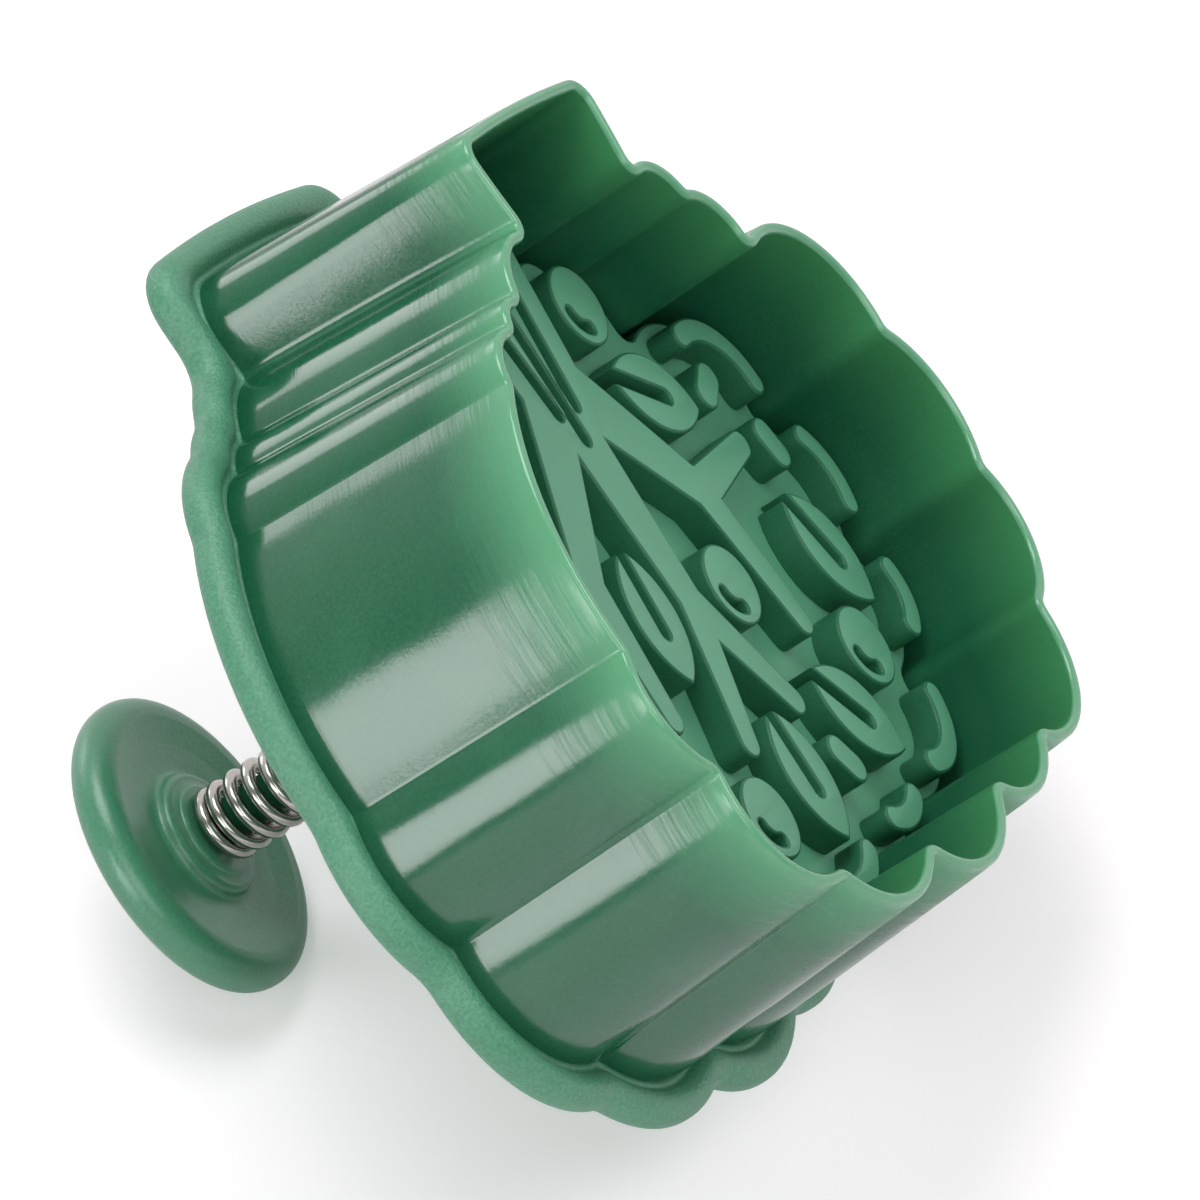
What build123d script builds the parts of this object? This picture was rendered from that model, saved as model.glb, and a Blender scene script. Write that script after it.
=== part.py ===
from build123d import *
import os
from cmath import rect
from math import ceil, cos, pi, radians, sin, sqrt, tan

# Plunger cutter in millimetres: +Z runs up the plunger and the cutting edge stands on z = 0.
# The stem's axis is the Z axis, and the flange's outline is centred on it.

# Cutting wall: the outline is that of a bumpy-crowned tree, its trunk towards -Y
crown_length = 80.0
tree_height = 71.0
wall_height = 26.3
edge_thickness = 1.0
outer_draft_deg = 4.0
inner_draft_deg = 0.35
root_corner_radius = 2.4
trunk_height = 8.7

# Flange and roof: one plate that closes the wall's top
flange_thickness = 2.7
flange_overhang = 3.4
flange_rim_radius = 1.3
flange_corner_radius = 4.6
flange_crease_radius = 3.6

# Bore in the roof, and the ring round it that keeps the spring in place
bore_clearance = 0.25
seat_ring_height = 1.2
seat_ring_wall = 1.2
seat_ring_clearance = 0.35

# Stem
stem_diameter = 3.7

# Stamp: its raised faces lie this far inside the cutting edge at rest, and come level with it when pushed
stamp_depth = 11.0
stamp_clearance = 0.5
plate_thickness = 2.6
relief_height = 2.8
relief_margin = 0.9
boss_diameter = 9.0
socket_floor = 1.2
rib_thickness = 1.5
rib_height = 4.0
rib_reach = 19.0
rib_count = 6

# Raised design on the stamp
crescent_width = 2.4
crescent_inset = 4.0
leaf_length = 12.6
leaf_width = 7.4
vein_width = 1.4
vein_length = 7.8
fruit_diameter = 7.6
glint_radius = 2.1
glint_width = 1.1
glint_start_deg = 100
glint_span_deg = 75
tuft_width = 3.0
tuft_length = 5.2
bark_groove_width = 1.5
trunk_foot_width = 18.4
trunk_neck_width = 12.0
limb_width = 7.0
twig_width = 4.2
twig_tip_width = 2.8

# Knob: a domed disc, dished below, with a hub that the spring bears on
knob_diameter = 27.0
knob_gap = 30.6
knob_rim_thickness = 4.0
knob_rim_radius = 1.9
knob_dome_rise = 1.2
knob_dish_depth = 0.7
hub_foot_diameter = 11.5
hub_face_diameter = 8.6
hub_drop = 0.9
stem_in_knob = 2.6

# Screw down the knob's middle, with the cap that closes its recess
screw_shank_diameter = 2.0
screw_shank_length = 7.5
screw_head_diameter = 4.4
screw_head_height = 1.4
screw_web = 1.3
screw_clearance = 0.15
drive_width = 0.8
drive_depth = 0.7
drive_span = 2.6
cap_diameter = 5.4

# Return spring, wound closer at both ends
wire_diameter = 1.25
spring_outer_diameter = 6.9
spring_turns = 13
close_turns = 1.5
close_pitch = 1.76
end_rise_share = 1.6

# Tree outline, counter-clockwise from the trunk's foot: where each lobe starts, as shares of half the crown's
# length and half the tree's height, and how far the lobe bulges, as a share of its chord
lobe_shares = [
    (-0.333, -0.985, 0.02),
    (0.333, -0.985, 0.02),
    (0.305, -0.745, 0.22),
    (0.470, -0.640, 0.20),
    (0.600, -0.465, 0.29),
    (0.945, -0.130, 0.20),
    (0.990, 0.265, 0.24),
    (0.860, 0.610, 0.29),
    (0.505, 0.865, 0.20),
    (0.180, 0.900, 0.23),
    (-0.250, 0.925, 0.20),
    (-0.660, 0.855, 0.26),
    (-0.900, 0.500, 0.20),
    (-0.960, 0.165, 0.13),
    (-0.745, -0.465, 0.20),
    (-0.600, -0.570, 0.22),
    (-0.500, -0.620, 0.20),
    (-0.305, -0.735, 0.02),
]
foot_corners = 2
crown_lobes = range(4, 14)

# Places of the motifs, as shares of the same halves: x and y, then a second x and y for a bar or a turn in
# degrees for a leaf or tuft
fork_share = -0.42
limb_shares = [
    (-0.05, fork_share, -0.34, 0.00),
    (0.05, fork_share, 0.34, -0.04),
    (0.00, fork_share, 0.01, 0.16),
]
twig_shares = [
    (-0.34, 0.00, -0.63, 0.06),
    (-0.34, 0.00, -0.36, 0.36),
    (0.34, -0.04, 0.62, -0.08),
    (0.34, -0.04, 0.41, 0.34),
    (0.01, 0.16, -0.12, 0.50),
    (0.01, 0.16, 0.17, 0.48),
]
leaf_shares = [
    (-0.425, -0.265, 128),
    (-0.640, 0.344, 152),
    (-0.495, 0.563, 135),
    (-0.170, 0.145, 97),
    (0.033, 0.633, 90),
    (0.395, 0.580, 52),
    (0.710, 0.231, 70),
    (0.405, -0.285, 30),
]
fruit_shares = [
    (-0.330, -0.545),
    (-0.655, -0.135),
    (-0.225, 0.665),
    (0.605, 0.468),
    (0.320, -0.547),
    (0.215, 0.180),
]
tuft_shares = [
    (-0.565, -0.392, 120),
    (0.230, 0.656, 60),
    (0.755, -0.045, 75),
    (0.640, -0.237, 150),
    (-0.765, 0.113, 90),
]
groove_shares = [
    (-0.11, -0.84, -0.045, -0.36),
    (0.00, -0.82, 0.00, -0.28),
    (0.11, -0.84, 0.045, -0.36),
]

# Heights that follow from the sizes above
roof_top = wall_height + flange_thickness
plate_bottom = stamp_depth + relief_height
plate_top = plate_bottom + plate_thickness
socket_bottom = plate_bottom + socket_floor
knob_bottom = roof_top + knob_gap
hub_face = knob_bottom - hub_drop
knob_top = knob_bottom + knob_rim_thickness
dome_top = knob_top + knob_dome_rise
stem_top = hub_face + stem_in_knob
head_seat = stem_top + screw_web
head_top = head_seat + screw_head_height

# Radii that follow
stem_radius = stem_diameter / 2
spring_radius = (spring_outer_diameter - wire_diameter) / 2
seat_ring_radius = spring_outer_diameter / 2 + seat_ring_clearance
knob_radius = knob_diameter / 2
dome_span = knob_radius - knob_rim_radius
dome_radius = (dome_span**2 + knob_dome_rise**2) / (2 * knob_dome_rise)

# How far the wall's faces move over its height, and where the stamp and the flange lie beside the cutting edge
outer_draft = wall_height * tan(radians(outer_draft_deg))
inner_draft = wall_height * tan(radians(inner_draft_deg))
stamp_inset = edge_thickness + inner_draft + stamp_clearance
flange_grow = outer_draft + flange_overhang


# Tree outline, worked out with points as complex numbers
def place(x_share, y_share):
    return complex(x_share * crown_length / 2, y_share * tree_height / 2)


def lobe_circle(start, end, bulge_share):
    """The circle of a lobe from its chord and bulge. Every side bulges, so that every one is an arc."""
    chord = end - start
    rise = bulge_share * abs(chord)
    radius = (abs(chord) ** 2 / 4 + rise**2) / (2 * rise)
    return (start + end) / 2 + 1j * chord / abs(chord) * (radius - rise), radius


joints = [place(x, y) for x, y, _ in lobe_shares]

# The trunk's sides keep their height, whatever the tree's
for shoulder, foot in ((2, 1), (-1, 0)):
    joints[shoulder] = complex(joints[shoulder].real, joints[foot].imag + trunk_height)

circles = [lobe_circle(p, q, lobe[2]) for p, q, lobe in zip(joints, joints[1:] + joints[:1], lobe_shares)]


def circles_meet(first, second, near):
    """The point where two circles cross, the one nearer to a given point."""
    (centre, radius), (other_centre, other_radius) = first, second
    apart = abs(other_centre - centre)
    along = (radius**2 - other_radius**2 + apart**2) / (2 * apart)
    aside = sqrt(max(radius**2 - along**2, 0))
    way = (other_centre - centre) / apart
    crossings = [centre + way * complex(along, side) for side in (aside, -aside)]
    return min(crossings, key=lambda point: abs(point - near))


def flat(*points):
    return [(point.real, point.imag) for point in points]


def arc_round(centre, radius, start, end):
    """The arc from start to end that passes over their middle, seen from the centre."""
    outward = (start + end) / 2 - centre
    return ThreePointArc(*flat(start, centre + radius * outward / abs(outward), end))


def outline_edges(grow, crease_radius, corner_radius):
    """The outline moved out by grow, with its creases and the corners at the trunk's foot rounded."""
    sides = [(centre, radius + grow) for centre, radius in circles]
    bends = [-corner_radius] * foot_corners + [crease_radius] * (len(sides) - foot_corners)
    turns = []
    for i, bend in enumerate(bends):
        before, after = ((centre, radius + bend) for centre, radius in (sides[i - 1], sides[i]))
        turns.append(circles_meet(before, after, joints[i]))

    def touch(side, turn):
        centre, radius = sides[side]
        way = turns[turn] - centre
        return centre + way / abs(way) * radius

    edges = []
    for i, bend in enumerate(bends):
        if bend:
            edges.append(arc_round(turns[i], abs(bend), touch(i - 1, i), touch(i, i)))
        edges.append(arc_round(*sides[i], touch(i, i), touch(i, (i + 1) % len(sides))))
    return edges


def outline_face(grow):
    """The outline as a face. The foot's corners grow with it, and a shrunk one rounds its creases as an even
    wall does on its inside."""
    corner_radius = max(root_corner_radius + grow, edge_thickness / 4)
    return Face(Wire(outline_edges(grow, max(-grow, 0), corner_radius)))


def flange_face():
    """The flange's outline, with wide corners and with its creases rounded off."""
    return Face(Wire(outline_edges(flange_grow, flange_crease_radius, flange_corner_radius)))


# The tree is moved so that the flange's box is centred on the stem
flange_middle = flange_face().bounding_box().center()
on_stem = Pos(-flange_middle.X, -flange_middle.Y, 0)


def outline_at(grow, height):
    return on_stem * Pos(0, 0, height) * outline_face(grow)


def disc(radius, low, high):
    """An upright cylinder on the stem's axis."""
    return Pos(0, 0, low) * extrude(Circle(radius), high - low)


# Cutter shell: drafted wall, flange with a round rim, roof, bore and spring seat in one moulding
def make_cutter_shell():
    wall = loft([outline_at(0, 0), outline_at(outer_draft, wall_height)], ruled=True)
    mouth, ceiling = outline_at(-edge_thickness, 0), outline_at(-edge_thickness - inner_draft, wall_height)
    cavity = loft([mouth, ceiling], ruled=True)
    flange = extrude(on_stem * Pos(0, 0, wall_height) * flange_face(), flange_thickness)
    faces = flange.faces().sort_by(Axis.Z)
    flange = fillet(faces[0].edges() + faces[-1].edges(), flange_rim_radius)
    seat_ring = disc(seat_ring_radius + seat_ring_wall, roof_top, roof_top + seat_ring_height)
    seat_ring -= disc(seat_ring_radius, roof_top, roof_top + seat_ring_height)
    bore = disc(stem_radius + bore_clearance, wall_height, roof_top)
    return wall - cavity + flange + seat_ring - bore


# Motifs of the raised design, each a flat shape
def bar(start, end, start_width, end_width):
    """A tapered bar with round ends, for limbs, twigs and grooves."""
    aside = (end - start) / abs(end - start) * 1j
    corners = [start + aside * start_width / 2, start - aside * start_width / 2]
    corners += [end - aside * end_width / 2, end + aside * end_width / 2]
    middle = make_face(Polyline(*flat(*corners), close=True))
    return middle + Pos(*flat(start)[0]) * Circle(start_width / 2) + Pos(*flat(end)[0]) * Circle(end_width / 2)


def round_ended(line, width):
    """A line of even width with round ends."""
    return trace(line, width) + [Pos(*(line @ share)) * Circle(width / 2) for share in (0, 1)]


def trunk():
    """The trunk widens towards its foot."""
    foot, neck = place(0, -1), place(0, fork_share)
    corners = [foot - trunk_foot_width / 2, foot + trunk_foot_width / 2]
    corners += [neck + trunk_neck_width / 2, neck - trunk_neck_width / 2]
    return make_face(Polyline(*flat(*corners), close=True))


def crescent(lobe):
    """A ridge with round ends inside one lobe of the crown, at an even distance from the wall."""
    centre, radius = circles[lobe]
    ridge_radius = radius - crescent_inset
    start, end = ((point - centre) / radius * ridge_radius for point in joints[lobe:lobe + 2])
    stop_short = rect(1, crescent_width / 2 / ridge_radius)
    ridge = arc_round(centre, ridge_radius, centre + start * stop_short, centre + end / stop_short)
    return round_ended(ridge, crescent_width)


def leaf():
    """Two arcs from tip to tip, split by a vein that is open at the stalk."""
    tip, side = leaf_length / 2, leaf_width / 2
    upper = ThreePointArc((-tip, 0), (0, side), (tip, 0))
    lower = ThreePointArc((tip, 0), (0, -side), (-tip, 0))
    vein = round_ended(Line((-tip, 0), (vein_length - tip, 0)), vein_width)
    return make_face([upper, lower]) - vein


def fruit():
    """A disc with a curved groove where the light would catch it."""
    glint = CenterArc((0, 0), glint_radius, glint_start_deg, glint_span_deg)
    return Circle(fruit_diameter / 2) - round_ended(glint, glint_width)


def tuft():
    return SlotOverall(tuft_length, tuft_width)


def raised_design():
    design = trunk()
    for *start, end_x, end_y in limb_shares:
        design += bar(place(*start), place(end_x, end_y), limb_width, twig_width)
    for *start, end_x, end_y in twig_shares:
        design += bar(place(*start), place(end_x, end_y), twig_width, twig_tip_width)
    for *start, end_x, end_y in groove_shares:
        design -= bar(place(*start), place(end_x, end_y), bark_groove_width, bark_groove_width)
    for lobe in crown_lobes:
        design += crescent(lobe)
    for *middle, turn in leaf_shares:
        design += Pos(*flat(place(*middle))[0]) * Rot(0, 0, turn) * leaf()
    for middle in fruit_shares:
        design += Pos(*flat(place(*middle))[0]) * fruit()
    for *middle, turn in tuft_shares:
        design += Pos(*flat(place(*middle))[0]) * Rot(0, 0, turn) * tuft()
    return design & outline_face(-stamp_inset - relief_margin)


# Stamp: plate with the raised design below, and above it a ribbed boss that stops on the roof
def make_stamp_plate():
    plate = extrude(outline_at(-stamp_inset, plate_bottom), plate_thickness)
    relief = on_stem * Pos(0, 0, stamp_depth) * extrude(raised_design(), relief_height)
    boss = disc(boss_diameter / 2, plate_top, wall_height)
    rib = Box(rib_reach, rib_thickness, rib_height, align=(Align.MIN, Align.CENTER, Align.MIN))
    ribs = [Pos(0, 0, plate_top) * Rot(0, 0, 360 / rib_count * i) * rib for i in range(rib_count)]
    return plate + relief + boss + ribs - disc(stem_radius, socket_bottom, wall_height)


# Stem: plain rod from the stamp's socket to the knob's, with a pilot hole for the screw
def make_plunger_stem():
    pilot_hole = disc(screw_shank_diameter / 2, head_seat - screw_shank_length, stem_top)
    return disc(stem_radius, socket_bottom, stem_top) - pilot_hole


# Knob: one turned profile, from the hub's face round the rim and over the dome
def dome_height(x):
    return dome_top - dome_radius + sqrt(dome_radius**2 - x**2)


def make_plunger_knob():
    hub_edge = (hub_face_diameter / 2, hub_face)
    dish = (hub_foot_diameter / 2, knob_bottom + knob_dish_depth)
    rim_lower, rim_upper = (dome_span, knob_bottom), (dome_span, knob_top)
    side_lower = (knob_radius, knob_bottom + knob_rim_radius)
    side_upper = (knob_radius, knob_top - knob_rim_radius)
    profile = make_face([
        Polyline((0, hub_face), hub_edge, dish, rim_lower),
        RadiusArc(rim_lower, side_lower, -knob_rim_radius),
        Line(side_lower, side_upper),
        RadiusArc(side_upper, rim_upper, -knob_rim_radius),
        ThreePointArc(rim_upper, (dome_span / 2, dome_height(dome_span / 2)), (0, dome_top)),
        Line((0, dome_top), (0, hub_face)),
    ])
    knob = revolve(Plane.XZ * profile, Axis.Z)
    knob -= disc(stem_radius, hub_face, stem_top)
    knob -= disc(screw_shank_diameter / 2 + screw_clearance, stem_top, head_seat)
    knob -= disc(screw_head_diameter / 2 + screw_clearance, head_seat, head_top)
    return knob - disc(cap_diameter / 2, head_top, dome_top)


# Screw: plain shank in place of its thread, and a cheese head with a cross drive
def make_knob_screw():
    screw = disc(screw_shank_diameter / 2, head_seat - screw_shank_length, head_seat)
    screw += disc(screw_head_diameter / 2, head_seat, head_top)
    slot = Box(drive_span, drive_width, drive_depth, align=(Align.CENTER, Align.CENTER, Align.MAX))
    return screw - Pos(0, 0, head_top) * (slot + Rot(0, 0, 90) * slot)


# Cap: plug over the screw, its top part of the knob's dome
def make_screw_cap():
    plug = disc(cap_diameter / 2, head_top, dome_top)
    return plug & Pos(0, 0, dome_top - dome_radius) * Sphere(dome_radius)


# Spring: the wire follows a helix, and turns square onto the roof and onto the hub at its ends
up = Vector(0, 0, 1)
quarter_turn = 0.25
leg_length = wire_diameter
end_rise = end_rise_share * wire_diameter
helix_bottom = roof_top + leg_length + end_rise
helix_height = hub_face - roof_top - 2 * (leg_length + end_rise)
open_turns = spring_turns - 2 * close_turns
open_pitch = (helix_height - 2 * close_turns * close_pitch) / open_turns


def climb(turn):
    """How far the wire has risen after a number of turns: closely wound, then open, then closely wound."""
    opened = min(max(turn - close_turns, 0), open_turns)
    return close_pitch * (turn - opened) + open_pitch * opened


def on_circle(turn, height):
    return Vector(spring_radius * cos(2 * pi * turn), spring_radius * sin(2 * pi * turn), height)


def helix_point(turn):
    """A point of the helix and the direction of the wire there, after a number of turns."""
    slope = (climb(turn + quarter_turn) - climb(turn - quarter_turn)) / (4 * pi * quarter_turn * spring_radius)
    way = Vector(-sin(2 * pi * turn), cos(2 * pi * turn), slope)
    return on_circle(turn, helix_bottom + climb(turn)), way.normalized()


def biarc(start, start_way, end, end_way):
    """Two arcs that meet smoothly half way, with given directions at both ends."""
    across = end - start
    bend = 2 * (1 - start_way.dot(end_way))
    lean = across.dot(start_way + end_way)
    reach = (sqrt(lean**2 + bend * across.dot(across)) - lean) / bend
    first, second = start + start_way * reach, end - end_way * reach
    middle = (first + second) * 0.5
    return [Edge.make_tangent_arc(start, start_way, middle), Edge.make_tangent_arc(middle, second - first, end)]


def spring_path():
    foot = on_circle(-quarter_turn, roof_top)
    head = on_circle(spring_turns + quarter_turn, hub_face)
    foot_leg, head_leg = foot + up * leg_length, head - up * leg_length
    path = [Edge.make_line(foot, foot_leg)]
    path += biarc(foot_leg, up, *helix_point(0))
    for step in range(round(spring_turns / quarter_turn)):
        path += biarc(*helix_point(step * quarter_turn), *helix_point((step + 1) * quarter_turn))
    path += biarc(*helix_point(spring_turns), head_leg, up)
    return Wire(path + [Edge.make_line(head_leg, head)])


def least_gap(path):
    """The least distance between points of the wire from half a turn to two turns apart, less the wire."""
    spacing = wire_diameter / 3
    count = ceil(path.length / spacing)
    points = [path @ (i / count) for i in range(count + 1)]
    half_turn = ceil(pi * spring_radius / spacing)
    pairs = ((i, j) for i in range(count) for j in range(i + half_turn, min(i + 4 * half_turn, count + 1)))
    return min((points[i] - points[j]).length for i, j in pairs) - wire_diameter


def make_return_spring():
    path = spring_path()
    spring = sweep(Plane(path @ 0, z_dir=path % 0) * Circle(wire_diameter / 2), path=path)
    tightest = min(edge.radius for edge in path.edges() if edge.geom_type == GeomType.CIRCLE)
    filled = spring.volume / (path.length * pi * wire_diameter**2 / 4)
    print(f"spring: least gap to itself {least_gap(path):.2f} mm, tightest arc {tightest:.2f} mm")
    print(f"spring: open pitch {open_pitch:.2f} mm, volume over section times length {filled:.4f}")
    return spring


pieces = {
    "cutter_shell": make_cutter_shell,
    "stamp_plate": make_stamp_plate,
    "plunger_stem": make_plunger_stem,
    "plunger_knob": make_plunger_knob,
    "knob_screw": make_knob_screw,
    "screw_cap": make_screw_cap,
    "return_spring": make_return_spring,
}
os.makedirs("parts", exist_ok=True)
for name, make in pieces.items():
    export_step(make(), f"parts/{name}.step")
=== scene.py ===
import bmesh
import bpy
import numpy as np
from mathutils import Matrix, Vector


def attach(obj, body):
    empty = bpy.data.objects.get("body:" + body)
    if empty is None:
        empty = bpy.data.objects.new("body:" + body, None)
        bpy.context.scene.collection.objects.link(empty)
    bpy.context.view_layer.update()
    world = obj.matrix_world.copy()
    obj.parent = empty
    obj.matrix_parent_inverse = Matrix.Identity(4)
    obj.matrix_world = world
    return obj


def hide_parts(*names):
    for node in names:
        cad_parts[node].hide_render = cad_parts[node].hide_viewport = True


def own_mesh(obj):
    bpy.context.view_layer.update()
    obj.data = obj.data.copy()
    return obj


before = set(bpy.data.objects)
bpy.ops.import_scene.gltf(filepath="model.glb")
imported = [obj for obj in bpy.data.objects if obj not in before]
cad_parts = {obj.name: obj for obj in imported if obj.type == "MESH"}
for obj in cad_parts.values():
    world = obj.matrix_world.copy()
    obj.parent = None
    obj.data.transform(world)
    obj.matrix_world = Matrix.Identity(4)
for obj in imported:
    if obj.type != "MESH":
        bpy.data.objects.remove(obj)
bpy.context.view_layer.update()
mm = 0.001

# Camera and table: the cutter lies tipped over on the rims of its flange and its knob, on a white table. A
# long lens looks down at its open side. All directions are in the cutter's own frame, and sizes are in mm
# unless their name says metres.
towards_camera = Vector((-0.903, 0.0, -0.430)).normalized()
camera_right = Vector((0.344, 0.537, -0.762))
camera_right = (camera_right - camera_right.dot(towards_camera) * towards_camera).normalized()
camera_up = towards_camera.cross(camera_right)
film_width, focal_length, nearest_metres, farthest_metres = 36, 360, 0.05, 20
lens_data = bpy.data.cameras.new("lens")
lens_data.sensor_width, lens_data.lens = film_width, focal_length
lens_data.clip_start, lens_data.clip_end = nearest_metres, farthest_metres
lens = bpy.data.objects.new("lens", lens_data)
bpy.context.scene.collection.objects.link(lens)
stand_right, stand_up, stand_off = -13.1, -9.9, 960
stand = (stand_right * camera_right + stand_up * camera_up + stand_off * towards_camera) * mm
lens_turn = Matrix((camera_right, camera_up, towards_camera)).transposed().to_4x4()
lens.matrix_world = Matrix.Translation(stand) @ lens_turn
bpy.context.scene.camera = lens
bpy.context.scene.view_settings.view_transform = "Standard"

table_up = Vector((-0.383, -0.614, -0.690)).normalized()
table_right = (camera_right - camera_right.dot(table_up) * table_up).normalized()
table_front = table_right.cross(table_up)
lowest_points = [min(v.co.dot(table_up) for v in node.data.vertices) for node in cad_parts.values()]
table_middle = table_up * min(lowest_points)

# Studio: a white backdrop behind the table, a dim room in front of it, and five softboxes. The room is white
# to the camera, and even light to all that isn't glossy. The table's white paper glows a little, but only to
# the camera and in reflections.


class Strand:
    """A shader socket that can be summed and multiplied: each step becomes a Math node."""

    def __init__(self, finish, socket):
        self.finish, self.socket = finish, socket

    def math(self, operation, *values):
        return self.finish.node("Math", {"operation": operation}, dict(enumerate(values)))

    def __add__(self, other):
        return self.math("ADD", self, other)

    def __sub__(self, other):
        return self.math("SUBTRACT", self, other)

    def __rsub__(self, other):
        return self.math("SUBTRACT", other, self)

    def __mul__(self, other):
        return self.math("MULTIPLY", self, other)

    def __pow__(self, other):
        return self.math("POWER", self, other)

    def kept(self, low=0.0, high=1.0):
        return self.math("MINIMUM", self.math("MAXIMUM", self, low), high)

    def swing(self):
        """A noise about its middle, from -0.5 to 0.5."""
        return self - 0.5

    __radd__, __rmul__ = __add__, __mul__


class Finish:
    """A material's nodes. node() adds any of them: first its settings, then its sockets' values or links."""

    def __init__(self, name, tree=None):
        if tree is None:
            self.material = bpy.data.materials.new(name)
            self.material.use_nodes = True
            tree = self.material.node_tree
        self.tree = tree
        self.tree.nodes.clear()

    def node(self, kind, settings=None, sockets=None, output=0):
        made = self.tree.nodes.new("ShaderNode" + kind)
        for setting, value in (settings or {}).items():
            setattr(made, setting, value)
        for socket, value in (sockets or {}).items():
            if isinstance(value, Strand):
                self.tree.links.new(value.socket, made.inputs[socket])
            else:
                made.inputs[socket].default_value = value
        return Strand(self, made.outputs[output]) if made.outputs else None

    def place(self):
        """Where a point of the piece lies, in millimetres."""
        return self.node("VectorMath", {"operation": "SCALE"}, {
            0: self.node("TexCoord", output="Object"), "Scale": 1 / mm})

    def noise(self, place, spots_per_mm, detail):
        return self.node("TexNoise", sockets={"Vector": place, "Scale": spots_per_mm, "Detail": detail})

    def blend(self, share, colour, other):
        return self.node("Mix", {"data_type": "RGBA"}, {0: share, 6: colour, 7: other}, output=2)


white = (1, 1, 1, 1)
room_light, dim_front, fade_level, fade_slope = 0.26, 0.34, 0.35, 0.95
world = bpy.data.worlds.new("studio")
world.use_nodes = True
bpy.context.scene.world = world
studio = Finish("studio", world.node_tree)
camera_ray = studio.node("LightPath", output="Is Camera Ray")
glossy_ray = (studio.node("LightPath", output="Is Glossy Ray")
              + studio.node("LightPath", output="Is Transmission Ray")).kept()
behind = studio.node("VectorMath", {"operation": "DOT_PRODUCT"}, {
    0: studio.node("TexCoord", output="Generated"), 1: -table_front}, output=1)
backdrop = (dim_front + (1 - dim_front) * (fade_level + fade_slope * behind).kept()) * glossy_ray
air = studio.node("Background", sockets={
    "Color": white, "Strength": (camera_ray + backdrop + room_light * (1 - glossy_ray)).kept()})
studio.node("OutputWorld", sockets={"Surface": air})

paper_white = (0.83, 0.785, 0.81, 1)
seen_glow, mirrored_glow = 0.33, 0.15
table_finish = Finish("white_table")
camera_ray = table_finish.node("LightPath", output="Is Camera Ray")
glossy_ray = table_finish.node("LightPath", output="Is Glossy Ray")
paper = table_finish.node("BsdfDiffuse", sockets={"Color": paper_white})
glow = table_finish.node("Emission", sockets={
    "Color": white, "Strength": seen_glow * camera_ray + mirrored_glow * glossy_ray})
lit = table_finish.node("AddShader", sockets={0: paper, 1: glow})
from_below = table_finish.node("NewGeometry", output="Backfacing") * camera_ray
clear = table_finish.node("BsdfTransparent")
table_finish.node("OutputMaterial", sockets={
    "Surface": table_finish.node("MixShader", sockets={0: from_below, 1: lit, 2: clear})})
table_reach_metres = 1.5
square = ((-1, -1), (1, -1), (1, 1), (-1, 1))
corners = [table_middle + table_reach_metres * (x * table_right + y * -table_front) for x, y in square]
table_mesh = bpy.data.meshes.new("table")
table_mesh.from_pydata(corners, [], [(0, 1, 2, 3)])
table_mesh.materials.append(table_finish.material)
table = bpy.data.objects.new("table", table_mesh)
bpy.context.scene.collection.objects.link(table)

lamps_aim_at = Vector((0, 0, 30)) * mm


def softbox(name, right, front, up, wide, high, watts):
    """A lamp at so many metres to the right, front and top of the cutter, turned towards it."""
    lamp = bpy.data.lights.new(name, "AREA")
    lamp.shape, lamp.size, lamp.size_y, lamp.energy = "RECTANGLE", wide, high, watts
    box = bpy.data.objects.new(name, lamp)
    bpy.context.scene.collection.objects.link(box)
    away = right * table_right + front * table_front + up * table_up
    across = table_up.cross(away).normalized()
    upward = away.normalized().cross(across)
    turn = Matrix((across, upward, away.normalized())).transposed().to_4x4()
    box.matrix_world = Matrix.Translation(lamps_aim_at + away) @ turn


softbox("overhead_box", right=-0.22, front=-0.10, up=0.85, wide=0.50, high=0.50, watts=3.8)
softbox("right_box", right=0.50, front=0.10, up=0.62, wide=0.40, high=0.40, watts=1.9)
softbox("window_box", right=-0.45, front=0.52, up=0.16, wide=0.34, high=0.26, watts=1.4)
softbox("side_box", right=-0.51, front=-0.475, up=0.19, wide=0.32, high=0.20, watts=0.55)
softbox("front_fill", right=0.05, front=1.00, up=0.80, wide=0.90, high=0.90, watts=5.0)

# Cutter shell: the cutting wall with its flange and roof, one moulding in green polypropylene. The wall is
# 1 mm thick at its cutting edge and thickens towards the flange, whose rim is a finely grained bead for the
# fingers.
half_crown, half_tree, trunk_height = 40.0, 35.5, 8.7

# The outline is a tree's. Each lobe has its start, as shares of half the crown's length and half the tree's
# height, and its bulge, as a share of its chord.
lobe_shares = np.array([
    (-0.333, -0.985, 0.02),
    (0.333, -0.985, 0.02),
    (0.305, -0.745, 0.22),
    (0.470, -0.640, 0.20),
    (0.600, -0.465, 0.29),
    (0.945, -0.130, 0.20),
    (0.990, 0.265, 0.24),
    (0.860, 0.610, 0.29),
    (0.505, 0.865, 0.20),
    (0.180, 0.900, 0.23),
    (-0.250, 0.925, 0.20),
    (-0.660, 0.855, 0.26),
    (-0.900, 0.500, 0.20),
    (-0.960, 0.165, 0.13),
    (-0.745, -0.465, 0.20),
    (-0.600, -0.570, 0.22),
    (-0.500, -0.620, 0.20),
    (-0.305, -0.735, 0.02),
])
feet, shoulders = [1, 0], [2, -1]
tree_shift = complex(-0.9178, -0.4323)
starts = lobe_shares[:, 0] * half_crown + 1j * lobe_shares[:, 1] * half_tree
starts[shoulders] = starts[shoulders].real + 1j * (starts[feet].imag + trunk_height)
chords = np.roll(starts, -1) - starts
rises = lobe_shares[:, 2] * abs(chords)
lobe_radii = (abs(chords) ** 2 / 4 + rises**2) / (2 * rises)
lobe_centres = starts + chords / 2 + 1j * chords / abs(chords) * (lobe_radii - rises)


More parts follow.
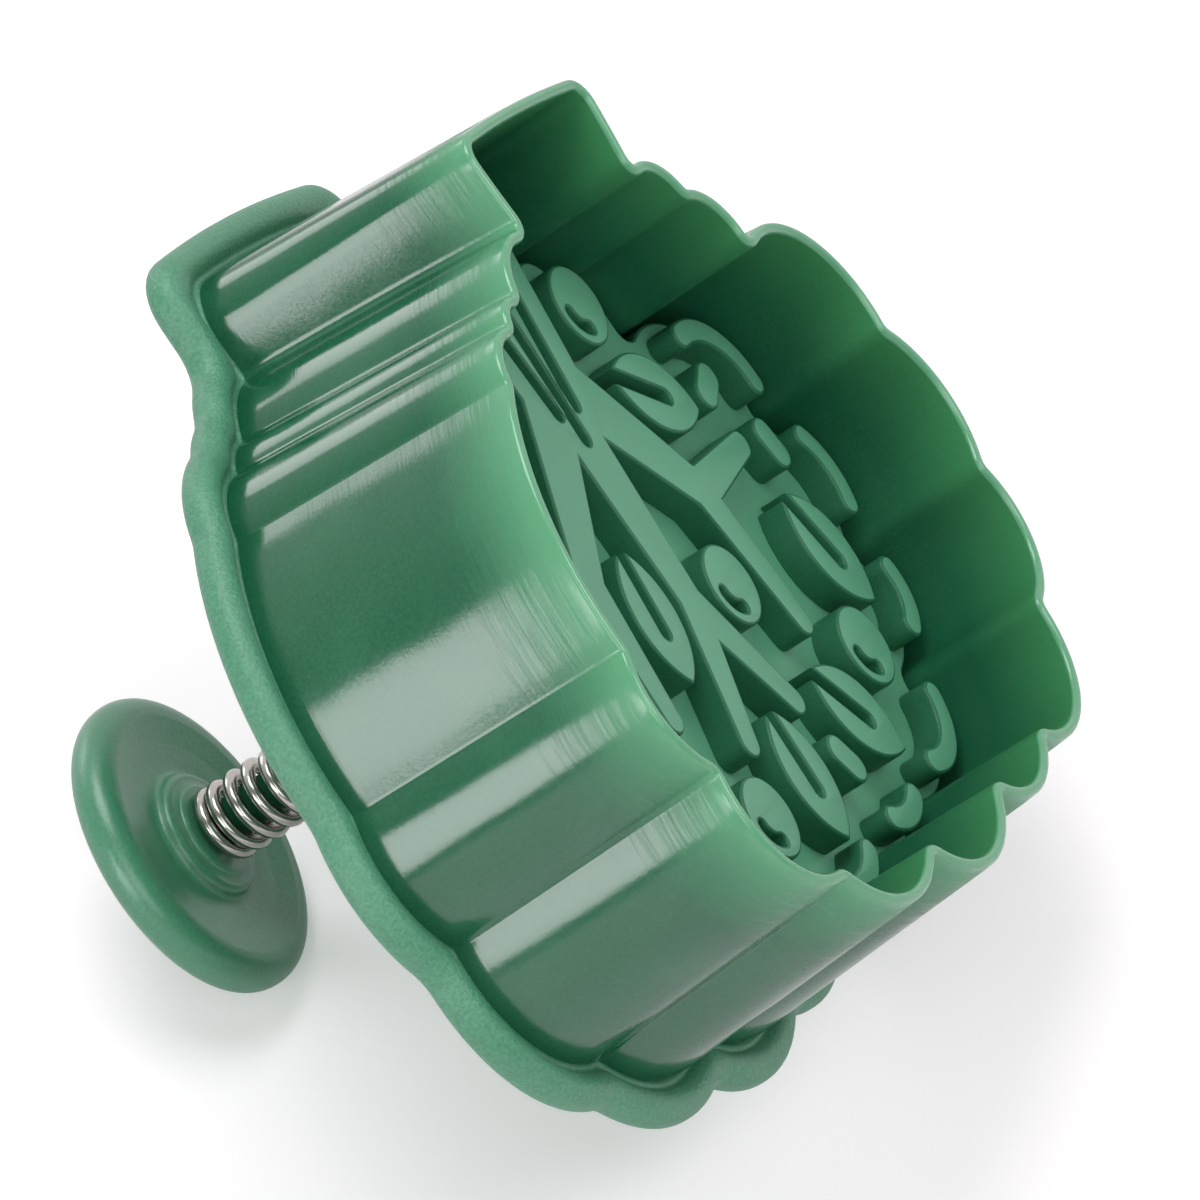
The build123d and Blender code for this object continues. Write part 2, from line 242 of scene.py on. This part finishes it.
def tree_rows(grow, crease, corner, lobe_steps=26, bend_steps=8):
    """Rows of complex points round the tree, one for each grow. Each lobe is an arc of its own circle, moved
    out by grow. Between two lobes an arc of radius crease, or at the foot of radius corner, touches both.
    Its centre is where the two circles cross once that radius is added to theirs, or is taken off them at a
    corner."""
    grow, crease, corner = (np.asarray(value, float)[:, None] for value in (grow, crease, corner))
    radii = lobe_radii + grow
    bend = np.where(np.arange(len(starts)) < len(feet), -corner, crease)
    before, before_radii = np.roll(lobe_centres, 1), np.roll(radii, 1, axis=1)
    first, second = before_radii + bend, radii + bend
    apart = lobe_centres - before
    along = (first**2 - second**2 + abs(apart) ** 2) / (2 * abs(apart))
    aside = np.sqrt(np.maximum(first**2 - along**2, 0))
    meets = [before + apart / abs(apart) * (along + side * 1j * aside) for side in (1, -1)]
    turns = np.where(abs(meets[0] - starts) < abs(meets[1] - starts), *meets)
    enter = before + (turns - before) / abs(turns - before) * before_radii
    leave = lobe_centres + (turns - lobe_centres) / abs(turns - lobe_centres) * radii

    def arcs(centre, start, end, steps):
        """The start is turned about the centre, step by step, towards the end."""
        sweep = np.angle((end - centre) / (start - centre))[..., None] * np.arange(steps) / steps
        return centre[..., None] + (start - centre)[..., None] * np.exp(1j * sweep)

    corners_and_creases = arcs(turns, enter, leave, bend_steps)
    lobes = arcs(lobe_centres + 0 * turns, leave, np.roll(enter, -1, axis=1), lobe_steps)
    return np.concatenate([corners_and_creases, lobes], axis=2).reshape(len(grow), -1) + tree_shift


def arc(middle_out, middle_up, radius, start_deg, end_deg, steps):
    """Points (out, up) of a section on a circle: its middle plus radius times a turn's cosine and sine."""
    turn = np.radians(np.linspace(start_deg, end_deg, steps + 1))
    return np.column_stack([middle_out + radius * np.cos(turn), middle_up + radius * np.sin(turn)])


def straight(start, end, steps):
    """Points of a section, evenly spaced from start to end."""
    return np.linspace(start, end, steps + 1)


def lifted(rows, height):
    """Rows of complex points as points in mm, each row at its own height."""
    return np.stack([rows.real, rows.imag, np.reshape(height, (-1, 1)) + 0 * rows.real], axis=-1)


def ring_rows(section, angles):
    """Rows of a turned form: each point (radius, height) of its section, at every angle."""
    return lifted(section[:, :1] * np.exp(1j * angles), section[:, 1])


def bridge(outer, inner, height, steps, first=1):
    """Flat rows that pass evenly from one closed row of points to another. With first=0 they take in the row
    that they start from."""
    share = np.linspace(0, 1, steps + 2)[first:-1, None]
    return lifted(outer * (1 - share) + inner * share, np.full(len(share), height))


seam = 0.0001


def grid_mesh(points, wrap_rows=False, finishes=0):
    """A closed mesh from rows of points in mm, each row closed on itself: every four neighbours make a face.
    Points within a seam of each other become one. finishes numbers the material of each row of faces."""
    rows, columns = points.shape[:2]
    index = np.arange(rows * columns).reshape(rows, columns)
    index = np.column_stack([index, index[:, 0]])
    if wrap_rows:
        index = np.vstack([index, index[:1]])
    faces = np.stack([index[:-1, :-1], index[:-1, 1:], index[1:, 1:], index[1:, :-1]], axis=-1)
    mesh = bpy.data.meshes.new("grid")
    mesh.from_pydata((points * mm).reshape(-1, 3), [], faces.reshape(-1, 4).tolist())
    numbers = np.broadcast_to(np.reshape(finishes, (-1, 1)), faces.shape[:2])
    mesh.polygons.foreach_set("material_index", np.ascontiguousarray(numbers.ravel(), np.int32))
    shape = bmesh.new()
    shape.from_mesh(mesh)
    bmesh.ops.remove_doubles(shape, verts=shape.verts, dist=seam * mm)
    if shape.calc_volume(signed=True) < 0:
        bmesh.ops.reverse_faces(shape, faces=shape.faces)
    shape.to_mesh(mesh)
    shape.free()
    mesh.shade_smooth()
    return mesh


def moulding(name, *meshes, sharp_deg=50):
    """One object from the meshes of its parts, smooth but for its sharp corners."""
    shape = bmesh.new()
    for mesh in meshes:
        shape.from_mesh(mesh)
    whole = bpy.data.meshes.new(name)
    shape.to_mesh(whole)
    shape.free()
    whole.set_sharp_from_angle(angle=np.radians(sharp_deg))
    made = bpy.data.objects.new(name, whole)
    bpy.context.scene.collection.objects.link(made)
    return made


# The section goes down the inside, round the lip, up the outside, and round the groove, the bead and the rim
# to the roof. The lobes' creases and the foot's corners widen from the groove to the rim.
edge, wall_top, roof_top, draft, inner_draft = 1.0, 26.3, 29.0, 1.839, 0.161
flange, lip, groove, bead, bead_rise, rim = 3.4, 0.44, 0.30, 1.5, 1.05, 1.3
rim_out, bead_out, bead_up = draft + flange - rim, draft + flange - bead, wall_top + bead_rise
slope = draft / wall_top
lean = np.arccos((flange - bead - groove) / (bead + groove))
groove_up = bead_up - (bead + groove) * np.sin(lean)
inside = straight((-edge - inner_draft, wall_top), (-edge - inner_draft * lip / wall_top, lip), steps=22)
outside = np.vstack([
    arc(-edge + lip, lip, lip, 180, 270, steps=5),
    arc(-lip, lip, lip, 270, 360, steps=5),
    straight((slope * lip, lip), (draft, groove_up), steps=24)[1:-1],
])
flange_round = np.vstack([
    arc(draft + groove, groove_up, groove, 180, np.degrees(lean), steps=8),
    arc(bead_out, bead_up, bead, 180 + np.degrees(lean), 360, steps=16)[1:],
    arc(rim_out, roof_top - rim, rim, 0, 90, steps=9),
])
out, up = np.vstack([inside, outside, flange_round]).T
wall_crease, flange_crease = 0.8, 3.6
foot_corner, groove_corner, flange_corner = 2.4, 4.24, 4.6
spread = np.clip((out - draft - groove) / (rim_out - draft - groove), 0, 1)
on_rim = np.maximum(out - rim_out, 0)
crease = np.where(out < 0, -out, 0) + wall_crease + spread * (flange_crease + rim - wall_crease) - on_rim
flange_turn = groove_corner + (flange_corner - rim - groove_corner) * spread + on_rim
corner = np.where(out < draft + groove, foot_corner + np.minimum(out, draft), flange_turn)
wall_rows = tree_rows(out, crease, corner)

# The ring on the roof holds the spring in place, round the bore that guides the stem.
tree_angles = np.maximum.accumulate(np.unwrap(np.angle(wall_rows[-1])))
circle = np.exp(1j * tree_angles)
ring_out, ring_in, ring_high, bore_out = 5.0, 3.80, 1.2, 2.1
ring_soft, ring_draft, root_out, root_up = 0.2, 0.05, 0.04, 0.05
ring_top = roof_top + ring_high
seat = np.vstack([
    straight((ring_out, roof_top), (ring_out - root_out, roof_top + root_up), steps=1),
    arc(ring_out - ring_draft - ring_soft, ring_top - ring_soft, ring_soft, 0, 90, steps=4),
    arc(ring_in + ring_soft, ring_top - ring_soft, ring_soft, 90, 180, steps=4),
    straight((ring_in, roof_top + root_up), (ring_in - ring_draft, roof_top), steps=1),
    arc(bore_out + ring_soft, roof_top - ring_soft, ring_soft, 90, 180, steps=4),
    straight((bore_out, wall_top + root_up), (bore_out, wall_top), steps=1),
])
roof = np.concatenate([
    bridge(wall_rows[-1], ring_out * circle, roof_top, steps=10),
    ring_rows(seat, tree_angles),
])
ceiling = bridge(bore_out * circle, wall_rows[0], wall_top, steps=8)
inner_wall, outer_wall, grain_and_sheen = 0, 1, 2
shell_finishes = [inner_wall] * len(inside) + [outer_wall] * len(outside)
shell_finishes += [grain_and_sheen] * (len(flange_round) + len(roof)) + [inner_wall] * len(ceiling)
shell = moulding("shell_moulding", grid_mesh(
    np.concatenate([lifted(wall_rows, up), roof, ceiling]), wrap_rows=True, finishes=shell_finishes))
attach(shell, "cutter")
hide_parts("cutter_shell")

# The leaf and pale greens are the plastic's own tones. The two glow greens are painted light: the glow of
# light coming through the cutting edge, where the wall is thinnest, on the inner and the outer wall.
leaf_green, pale_green = (0.009, 0.103, 0.046, 1), (0.095, 0.330, 0.195, 1)
painted_inner_glow_green, painted_outer_glow_green = (0.055, 0.265, 0.102, 1), (0.100, 0.345, 0.180, 1)


def moulded_green(name, roughness, grain, grain_size, paleness=0.0, mottle=0.22, streaks=0.0,
                  gloss_level=0.5, glow_and_wear_to=0.0, glow_green=painted_inner_glow_green):
    """Green plastic. A slow cloud shifts its tone, a fine grain of so many mm mottles it and breaks its
    gloss, and streaks of the polished mould run round the wall. Up to so many mm from the cutting edge,
    where the wall is at its thinnest, its colour turns to the glow green: a painted glow of the light that
    comes through there."""
    cloud_tone, cloud_gloss, speck_gloss = 0.16, 0.08, 0.15
    finish = Finish(name)
    place = finish.place()
    cloud = finish.noise(place, spots_per_mm=0.09, detail=3.0)
    speck = finish.noise(place, spots_per_mm=1 / grain_size, detail=2.0)
    tone = paleness + cloud_tone * cloud.swing() + mottle * speck.swing()
    colour = finish.blend(tone.kept(), leaf_green, pale_green)
    gloss = roughness + cloud_gloss * cloud.swing() + speck_gloss * speck.swing()
    # Painted glow: near the cutting edge the colour is blended towards the glow green, for light coming
    # through the wall there.
    if glow_and_wear_to:
        glow_fall, cloud_glow = 1.4, 0.3
        height = finish.node("SeparateXYZ", sockets={0: place}, output="Z")
        edge_glow = (1.0 - height * (1 / glow_and_wear_to)).kept() ** glow_fall + cloud_glow * cloud.swing()
        colour = finish.blend(edge_glow.kept(), colour, glow_green)
    relief = grain * speck
    if streaks:
        streak_spots_per_mm, wave_height = (0.15, 0.15, 4.5), 0.12
        across = finish.node("VectorMath", {"operation": "MULTIPLY"}, {0: place, 1: streak_spots_per_mm})
        streak = finish.noise(across, spots_per_mm=1.0, detail=3.0)
        wave = finish.noise(place, spots_per_mm=0.11, detail=1.0)
        relief = relief + streaks * streak + wave_height * wave
    bump = finish.node("Bump", sockets={"Height": relief, "Distance": mm, "Strength": 1.0})
    glossiest = 0.05

    def plastic(dulness, level):
        """The plastic with a gloss of its own. A little light spreads under its surface."""
        return finish.node("BsdfPrincipled", {"subsurface_method": "BURLEY"}, {
            "Base Color": colour, "Roughness": dulness.kept(glossiest), "Normal": bump, "IOR": 1.49,
            "Specular IOR Level": level, "Subsurface Weight": 0.20, "Subsurface Radius": (0.35, 1.0, 0.55),
            "Subsurface Scale": 1.2 * mm})

    body = plastic(gloss, gloss_level)
    if streaks:
        # The polish wears off towards the cutting edge, along the streaks, but not on the very lip.
        wear_at_edge, wear_fall, wear_bristle, worn_dulness, worn_level = 1.15, 1.1, 1.6, 0.34, 0.5
        past_lip_slope, past_lip_start = 0.8, 0.1
        worn = (wear_at_edge - height * (wear_fall / glow_and_wear_to) + wear_bristle * streak.swing()).kept()
        worn = worn * (past_lip_slope * height - past_lip_start).kept()
        dull_body = plastic(gloss + worn_dulness, worn_level)
        body = finish.node("MixShader", sockets={0: worn, 1: body, 2: dull_body})
    finish.node("OutputMaterial", sockets={"Surface": body})
    return finish.material


# Within this many mm of the cutting edge the walls' colour is painted lighter, as a painted glow of light
# coming through. On the outer wall the same depth also sets how far its gloss wears off.
glow_and_wear_depth = 9.0
shell.data.materials.append(moulded_green(
    "inner_wall_plastic", roughness=0.42, grain=0.020, grain_size=0.30, gloss_level=0.3, glow_and_wear_to=glow_and_wear_depth))
shell.data.materials.append(moulded_green(
    "outer_wall_plastic", roughness=0.14, grain=0.004, grain_size=0.30, paleness=0.05, streaks=0.007,
    gloss_level=0.8, glow_and_wear_to=glow_and_wear_depth, glow_green=painted_outer_glow_green))
# The flange and the roof are painted much paler than the wall: a painted sheen on the grained bead. The fine
# grain that mottles it is real.
shell.data.materials.append(moulded_green(
    "flange_plastic", roughness=0.44, grain=0.10, grain_size=0.30, paleness=0.65, mottle=0.9,
    gloss_level=0.7))

# Stamp: the embossing plate that slides in the wall, moulded in the same plastic but finely matt on its
# working face, whose colour is painted far paler than its sides: a painted sheen. Its raised design has
# flat tops, upright sides and soft edges. Behind it a ribbed boss holds the stem.
stamp_face, plate_low, plate_high, boss_top, soft = 11.0, 13.8, 16.4, 26.3, 0.26
stamp_gap, sunk = 0.5, 0.1
stamp_out = -(edge + inner_draft + stamp_gap)
side_finish, face_matt_and_sheen = 0, 1

# The design's flat tops give its outline, which is raised again as a curve with a rounded edge.
facet_seam, top_slack, facing_down, level_face = 0.002, 0.1, -0.9, 0.999
design = bmesh.new()
design.from_mesh(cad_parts["stamp_plate"].data)
bmesh.ops.remove_doubles(design, verts=design.verts, dist=facet_seam * mm)
highest_top = (stamp_face + top_slack) * mm
tops = {face for face in design.faces
        if face.calc_center_median().z < highest_top and face.normal.z < facing_down}
inner_sides = [side for side in design.edges if sum(face in tops for face in side.link_faces) != 1]
bmesh.ops.delete(design, geom=inner_sides, context="EDGES")
bmesh.ops.delete(design, geom=[vert for vert in design.verts if not vert.link_edges], context="VERTS")
design_mesh = bpy.data.meshes.new("design")
design.to_mesh(design_mesh)
design.free()
outline = bpy.data.objects.new("design_outline", design_mesh)
bpy.context.scene.collection.objects.link(outline)
bpy.ops.object.select_all(action="DESELECT")
bpy.context.view_layer.objects.active = outline
outline.select_set(True)
bpy.ops.object.convert(target="CURVE")
relief_depth = plate_low - stamp_face + sunk
outline.data.dimensions, outline.data.fill_mode = "2D", "BOTH"
outline.data.extrude, outline.data.bevel_depth = (relief_depth / 2 - soft) * mm, soft * mm
outline.data.offset, outline.data.bevel_resolution = -soft * mm, 2
relief_mesh = bpy.data.meshes.new_from_object(outline)
bpy.data.objects.remove(outline)
relief_mesh.transform(Matrix.Translation((0, 0, (stamp_face + relief_depth / 2) * mm)))
relief = bmesh.new()
relief.from_mesh(relief_mesh)
bmesh.ops.remove_doubles(relief, verts=relief.verts, dist=seam * mm)
bmesh.ops.recalc_face_normals(relief, faces=relief.faces)
for face in relief.faces:
    face.smooth = abs(face.normal.z) < level_face
    face.material_index = side_finish if face.smooth else face_matt_and_sheen
relief.to_mesh(relief_mesh)
relief.free()

plate_section = np.vstack([
    arc(stamp_out - soft, plate_low + soft, soft, 270, 360, steps=4),
    arc(stamp_out - soft, plate_high - soft, soft, 0, 90, steps=4),
])
plate_rows = tree_rows(plate_section[:, 0], -plate_section[:, 0], foot_corner + plate_section[:, 0])
boss_out, boss_soft, stem_out = 4.5, 0.3, 1.85
boss_section = np.vstack([
    arc(boss_out + boss_soft, plate_high + boss_soft, boss_soft, 270, 180, steps=3),
    arc(boss_out - boss_soft, boss_top - boss_soft, boss_soft, 0, 90, steps=3),
    [(stem_out, boss_top), (stem_out, plate_high), (0, plate_high)],
])
face_rows = 6
plate_points = np.concatenate([
    bridge(0 * circle, plate_rows[0], plate_low, steps=face_rows - 1, first=0),
    lifted(plate_rows, plate_section[:, 1]),
    bridge(plate_rows[-1], (boss_out + boss_soft) * circle, plate_high, steps=6),
    ring_rows(boss_section, tree_angles),
])
plate_finishes = [face_matt_and_sheen] * face_rows + [side_finish] * (len(plate_points) - 1 - face_rows)
plate_and_boss = grid_mesh(plate_points, finishes=plate_finishes)

# Each rib is one section carried outwards along its length, shrunk to a point at both ends and turned about
# the axis.
rib_count, rib_half, rib_high, rib_soft = 6, 0.75, 4.0, 0.3
rib_start, rib_end, rib_end_size = 4.0, 19.0, 0.85
rib_across = np.vstack([
    [(-rib_half, -sunk), (rib_half, -sunk)],
    arc(rib_half - rib_soft, rib_high - rib_soft, rib_soft, 0, 90, steps=3),
    arc(rib_soft - rib_half, rib_high - rib_soft, rib_soft, 90, 180, steps=3),
])
rib_stations = np.array([
    (rib_start, 0.0),
    (rib_start, 1.0),
    (rib_end - rib_soft, 1.0),
    (rib_end, rib_end_size),
    (rib_end, 0.0),
])
reach, size = rib_stations.T[..., None]
rib_side = rib_across[:, 0] * size
rib_up = plate_high + rib_high / 2 + (rib_across[:, 1] - rib_high / 2) * size
rib_turns = np.exp(2j * np.pi / rib_count * np.arange(rib_count))[:, None, None]
rib_plan = (reach + 1j * rib_side)[None] * rib_turns
ribs = np.stack([rib_plan.real, rib_plan.imag, rib_up[None] + 0 * rib_plan.real], axis=-1)
rib_mesh = grid_mesh(ribs.reshape(-1, len(rib_across), 3))
stamp = moulding("stamp_moulding", relief_mesh, plate_and_boss, rib_mesh)
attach(stamp, "plunger")
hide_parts("stamp_plate")
# The face is painted much paler than the sides, in the same plastic: a painted sheen of the light that its
# flat tops catch.
stamp.data.materials.append(moulded_green(
    "stamp_side_plastic", roughness=0.40, grain=0.020, grain_size=0.22, paleness=0.15, gloss_level=0.3))
stamp.data.materials.append(moulded_green(
    "stamp_face_plastic", roughness=0.46, grain=0.040, grain_size=0.22, paleness=1.0, mottle=0.6,
    gloss_level=0.8))

# Stem: the plain rod that joins the stamp to the knob, moulded in the same green plastic. It is pressed into
# both, and shows only between the coils of the spring.
stem_low, stem_high, stem_soft = 15.0, 61.3, 0.2
stem_section = np.vstack([
    [(0, stem_low)],
    arc(stem_out - stem_soft, stem_low + stem_soft, stem_soft, 270, 360, steps=4),
    straight((stem_out, stem_low + stem_soft), (stem_out, stem_high - stem_soft), steps=20)[1:-1],
    arc(stem_out - stem_soft, stem_high - stem_soft, stem_soft, 0, 90, steps=4),
    [(0, stem_high)],
])
round_angles = np.linspace(0, 2 * np.pi, num=96, endpoint=False)
stem = moulding("stem_rod", grid_mesh(ring_rows(stem_section, round_angles)))
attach(stem, "plunger")
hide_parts("plunger_stem")
stem.data.materials.append(moulded_green("stem_plastic", roughness=0.34, grain=0.006, grain_size=0.30))

# Knob: a thick round disc with a full rim, domed on top and dished below round the hub that the spring bears
# on. It is moulded in the same green plastic with a finely grained skin, and the screw fixes it on the stem.
knob_low, knob_high, knob_out, knob_round, dome_rise = 59.6, 63.6, 13.5, 1.9, 1.2
dome_span = knob_out - knob_round
dome_radius = (dome_span**2 + dome_rise**2) / (2 * dome_rise)


def dome_up(out):
    """The dome's height so far out from its middle, on a sphere: the height of its centre plus the root of
    its radius squared less out squared."""
    return knob_high + dome_rise - dome_radius + np.sqrt(dome_radius**2 - out**2)


hub_drop, hub_in, hub_out, hub_soft = 0.9, 1.0, 3.9, 0.35
hub_face = knob_low - hub_drop
land_out, land_up, land_round = 5.0, 0.15, 0.65
hollow_out, hollow_up, hollow_round = 6.25, 0.05, 0.6
dish_in, dish_in_up, dish_out, dish_out_up = 6.6, 0.64, 9.0, 0.42
brim_out, brim_round = 11.3, 2.0
dome_in, dome_end, recess_out, recess_step, recess_deep = 2.75, 11.2, 2.70, 0.10, 0.5
dome_out = np.linspace(dome_end, dome_in, num=16)
recess_up = dome_up(dome_in)
knob_section = np.vstack([
    [(0, hub_face)],
    straight((hub_in, hub_face), (hub_out, hub_face), steps=4),
    arc(hub_out, hub_face + hub_soft, hub_soft, 270, 345, steps=5)[1:],
    arc(land_out, knob_low + land_up, land_round, 255, 350, steps=8),
    arc(hollow_out, knob_low + hollow_up, hollow_round, 155, 95, steps=5),
    straight((dish_in, knob_low + dish_in_up), (dish_out, knob_low + dish_out_up), steps=6),
    arc(brim_out, knob_low + brim_round, brim_round, 262, 270, steps=3),
    arc(dome_span, knob_low + knob_round, knob_round, 275, 360, steps=12),
    arc(dome_span, knob_high - knob_round, knob_round, 0, 84, steps=12),
    np.column_stack([dome_out, dome_up(dome_out)]),
    [(recess_out, recess_up - recess_step), (recess_out, recess_up - recess_deep)],
    [(0, recess_up - recess_deep)],
])
knob = moulding("knob_moulding", grid_mesh(ring_rows(knob_section, round_angles)))
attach(knob, "plunger")
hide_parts("plunger_knob")
# The knob's plastic is painted much paler than the shell's: painted brightness for the light that falls on
# it. The cap takes the same colour.
knob.data.materials.append(moulded_green(
    "knob_plastic", roughness=0.33, grain=0.020, grain_size=0.30, paleness=0.58, mottle=0.5,
    gloss_level=0.8))

# Cap: the small round plug over the screw, moulded in the knob's own plastic. It is pressed into the knob's
# top and follows the dome, with a fine joint round it.
cap_flat, cap_edge, cap_edge_drop, cap_out, cap_out_drop, cap_deep = 2.45, 2.58, 0.04, 2.65, 0.15, 0.7
cap_across = np.linspace(0, cap_flat, num=8)
cap_up = dome_up(cap_flat)
cap_section = np.vstack([
    np.column_stack([cap_across, dome_up(cap_across)]),
    [(cap_edge, cap_up - cap_edge_drop), (cap_out, cap_up - cap_out_drop), (cap_out, cap_up - cap_deep)],
    [(0, cap_up - cap_deep)],
])
cap = moulding("cap_plug", grid_mesh(ring_rows(cap_section, round_angles)))
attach(cap, "plunger")
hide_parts("screw_cap")
cap.data.materials.append(knob.data.materials[0])

# Spring: bright stainless wire wound on a mandrel, its end coils closed so that they stand flat on the roof
# and on the hub.
wire, spring_out, coil_turns, turn_steps = 1.25, 3.45, 13.8, 48
coil_radius = spring_out - wire / 2
closed_turns, roof_fade_turns, hub_fade_turns = 0.8, 0.7, 0.6
tight_turns, tight_fade_turns, tight_share = 7.0, 1.5, 0.5
closed_share = 1.005
closed_pitch = wire * closed_share

# The wire's middle goes round at coil_radius and climbs by its pitch. The pitch is closed at both ends and
# opens half as far in the turns by the hub as in the rest. The turns fill the room from the roof to the hub.
turn = np.arange(int(coil_turns * turn_steps) + 1) / turn_steps
to_knob = coil_turns - turn
opening = np.clip((turn - closed_turns) / roof_fade_turns, 0, 1)
opening *= np.clip((to_knob - closed_turns) / hub_fade_turns, 0, 1)
opening *= tight_share + (1 - tight_share) * np.clip((to_knob - tight_turns) / tight_fade_turns, 0, 1)
rise_left = hub_face - roof_top - wire - closed_pitch * coil_turns
pitch = closed_pitch + opening * rise_left / (opening[:-1].sum() / turn_steps)
climb = roof_top + wire / 2 + np.concatenate([[0], np.cumsum(pitch[:-1])]) / turn_steps
round_coil = np.exp(2j * np.pi * turn)
outwards = lifted(round_coil[:, None], 0 * turn)[:, 0]
middle = coil_radius * outwards + climb[:, None] * [0, 0, 1]
forward = np.gradient(middle, axis=0)
forward /= np.linalg.norm(forward, axis=1)[:, None]
sideways = np.cross(forward, outwards)

# A ring square to the wire follows it, and is closed to a point at both ends.
wire_sides, end_size = 16, 0.85
section_turn = np.linspace(0, 2 * np.pi, wire_sides, endpoint=False)[None, :, None]
ring = np.cos(section_turn) * outwards[:, None] + np.sin(section_turn) * sideways[:, None]
thickness = np.concatenate([[0, end_size], np.full(len(turn), 1.0), [end_size, 0]])[:, None, None]
station = np.concatenate([[0, 0], np.arange(len(turn)), [-1, -1]])
wire_points = middle[station][:, None] + wire / 2 * thickness * ring[station]
spring = moulding("spring_wire", grid_mesh(wire_points))
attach(spring, "cutter")
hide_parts("return_spring")
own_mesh(spring)


def steel(name, roughness, tint):
    """Drawn steel: bright metal whose gloss is broken by fine drawing marks and a slow cloud."""
    dull_share, cloud_share, mark_depth, mark_gloss, glossiest = 0.72, 0.5, 0.002, 0.14, 0.05
    finish = Finish(name)
    place = finish.place()
    marks = finish.noise(place, spots_per_mm=4.0, detail=3.0)
    cloud = finish.noise(place, spots_per_mm=0.5, detail=2.0)
    dull = tuple(dull_share * part for part in tint[:3]) + (1,)
    colour = finish.blend((cloud * cloud_share).kept(), tint, dull)
    bump = finish.node("Bump", sockets={"Height": mark_depth * marks, "Distance": mm, "Strength": 1.0})
    gloss = roughness + mark_gloss * marks.swing()
    body = finish.node("BsdfPrincipled", sockets={
        "Base Color": colour, "Metallic": 1.0, "Roughness": gloss.kept(glossiest), "Normal": bump})
    finish.node("OutputMaterial", sockets={"Surface": body})
    return finish.material


spring.data.materials.append(steel("spring_stainless", roughness=0.17, tint=(0.52, 0.49, 0.46, 1)))

# Screw: the plated steel screw that runs down the knob's middle into the stem, under the cap. Its CAD solid
# stays, and only gets its finish.
screw_steel = steel("screw_zinc", roughness=0.35, tint=(0.60, 0.60, 0.58, 1))
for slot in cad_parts["knob_screw"].material_slots:
    slot.material = screw_steel
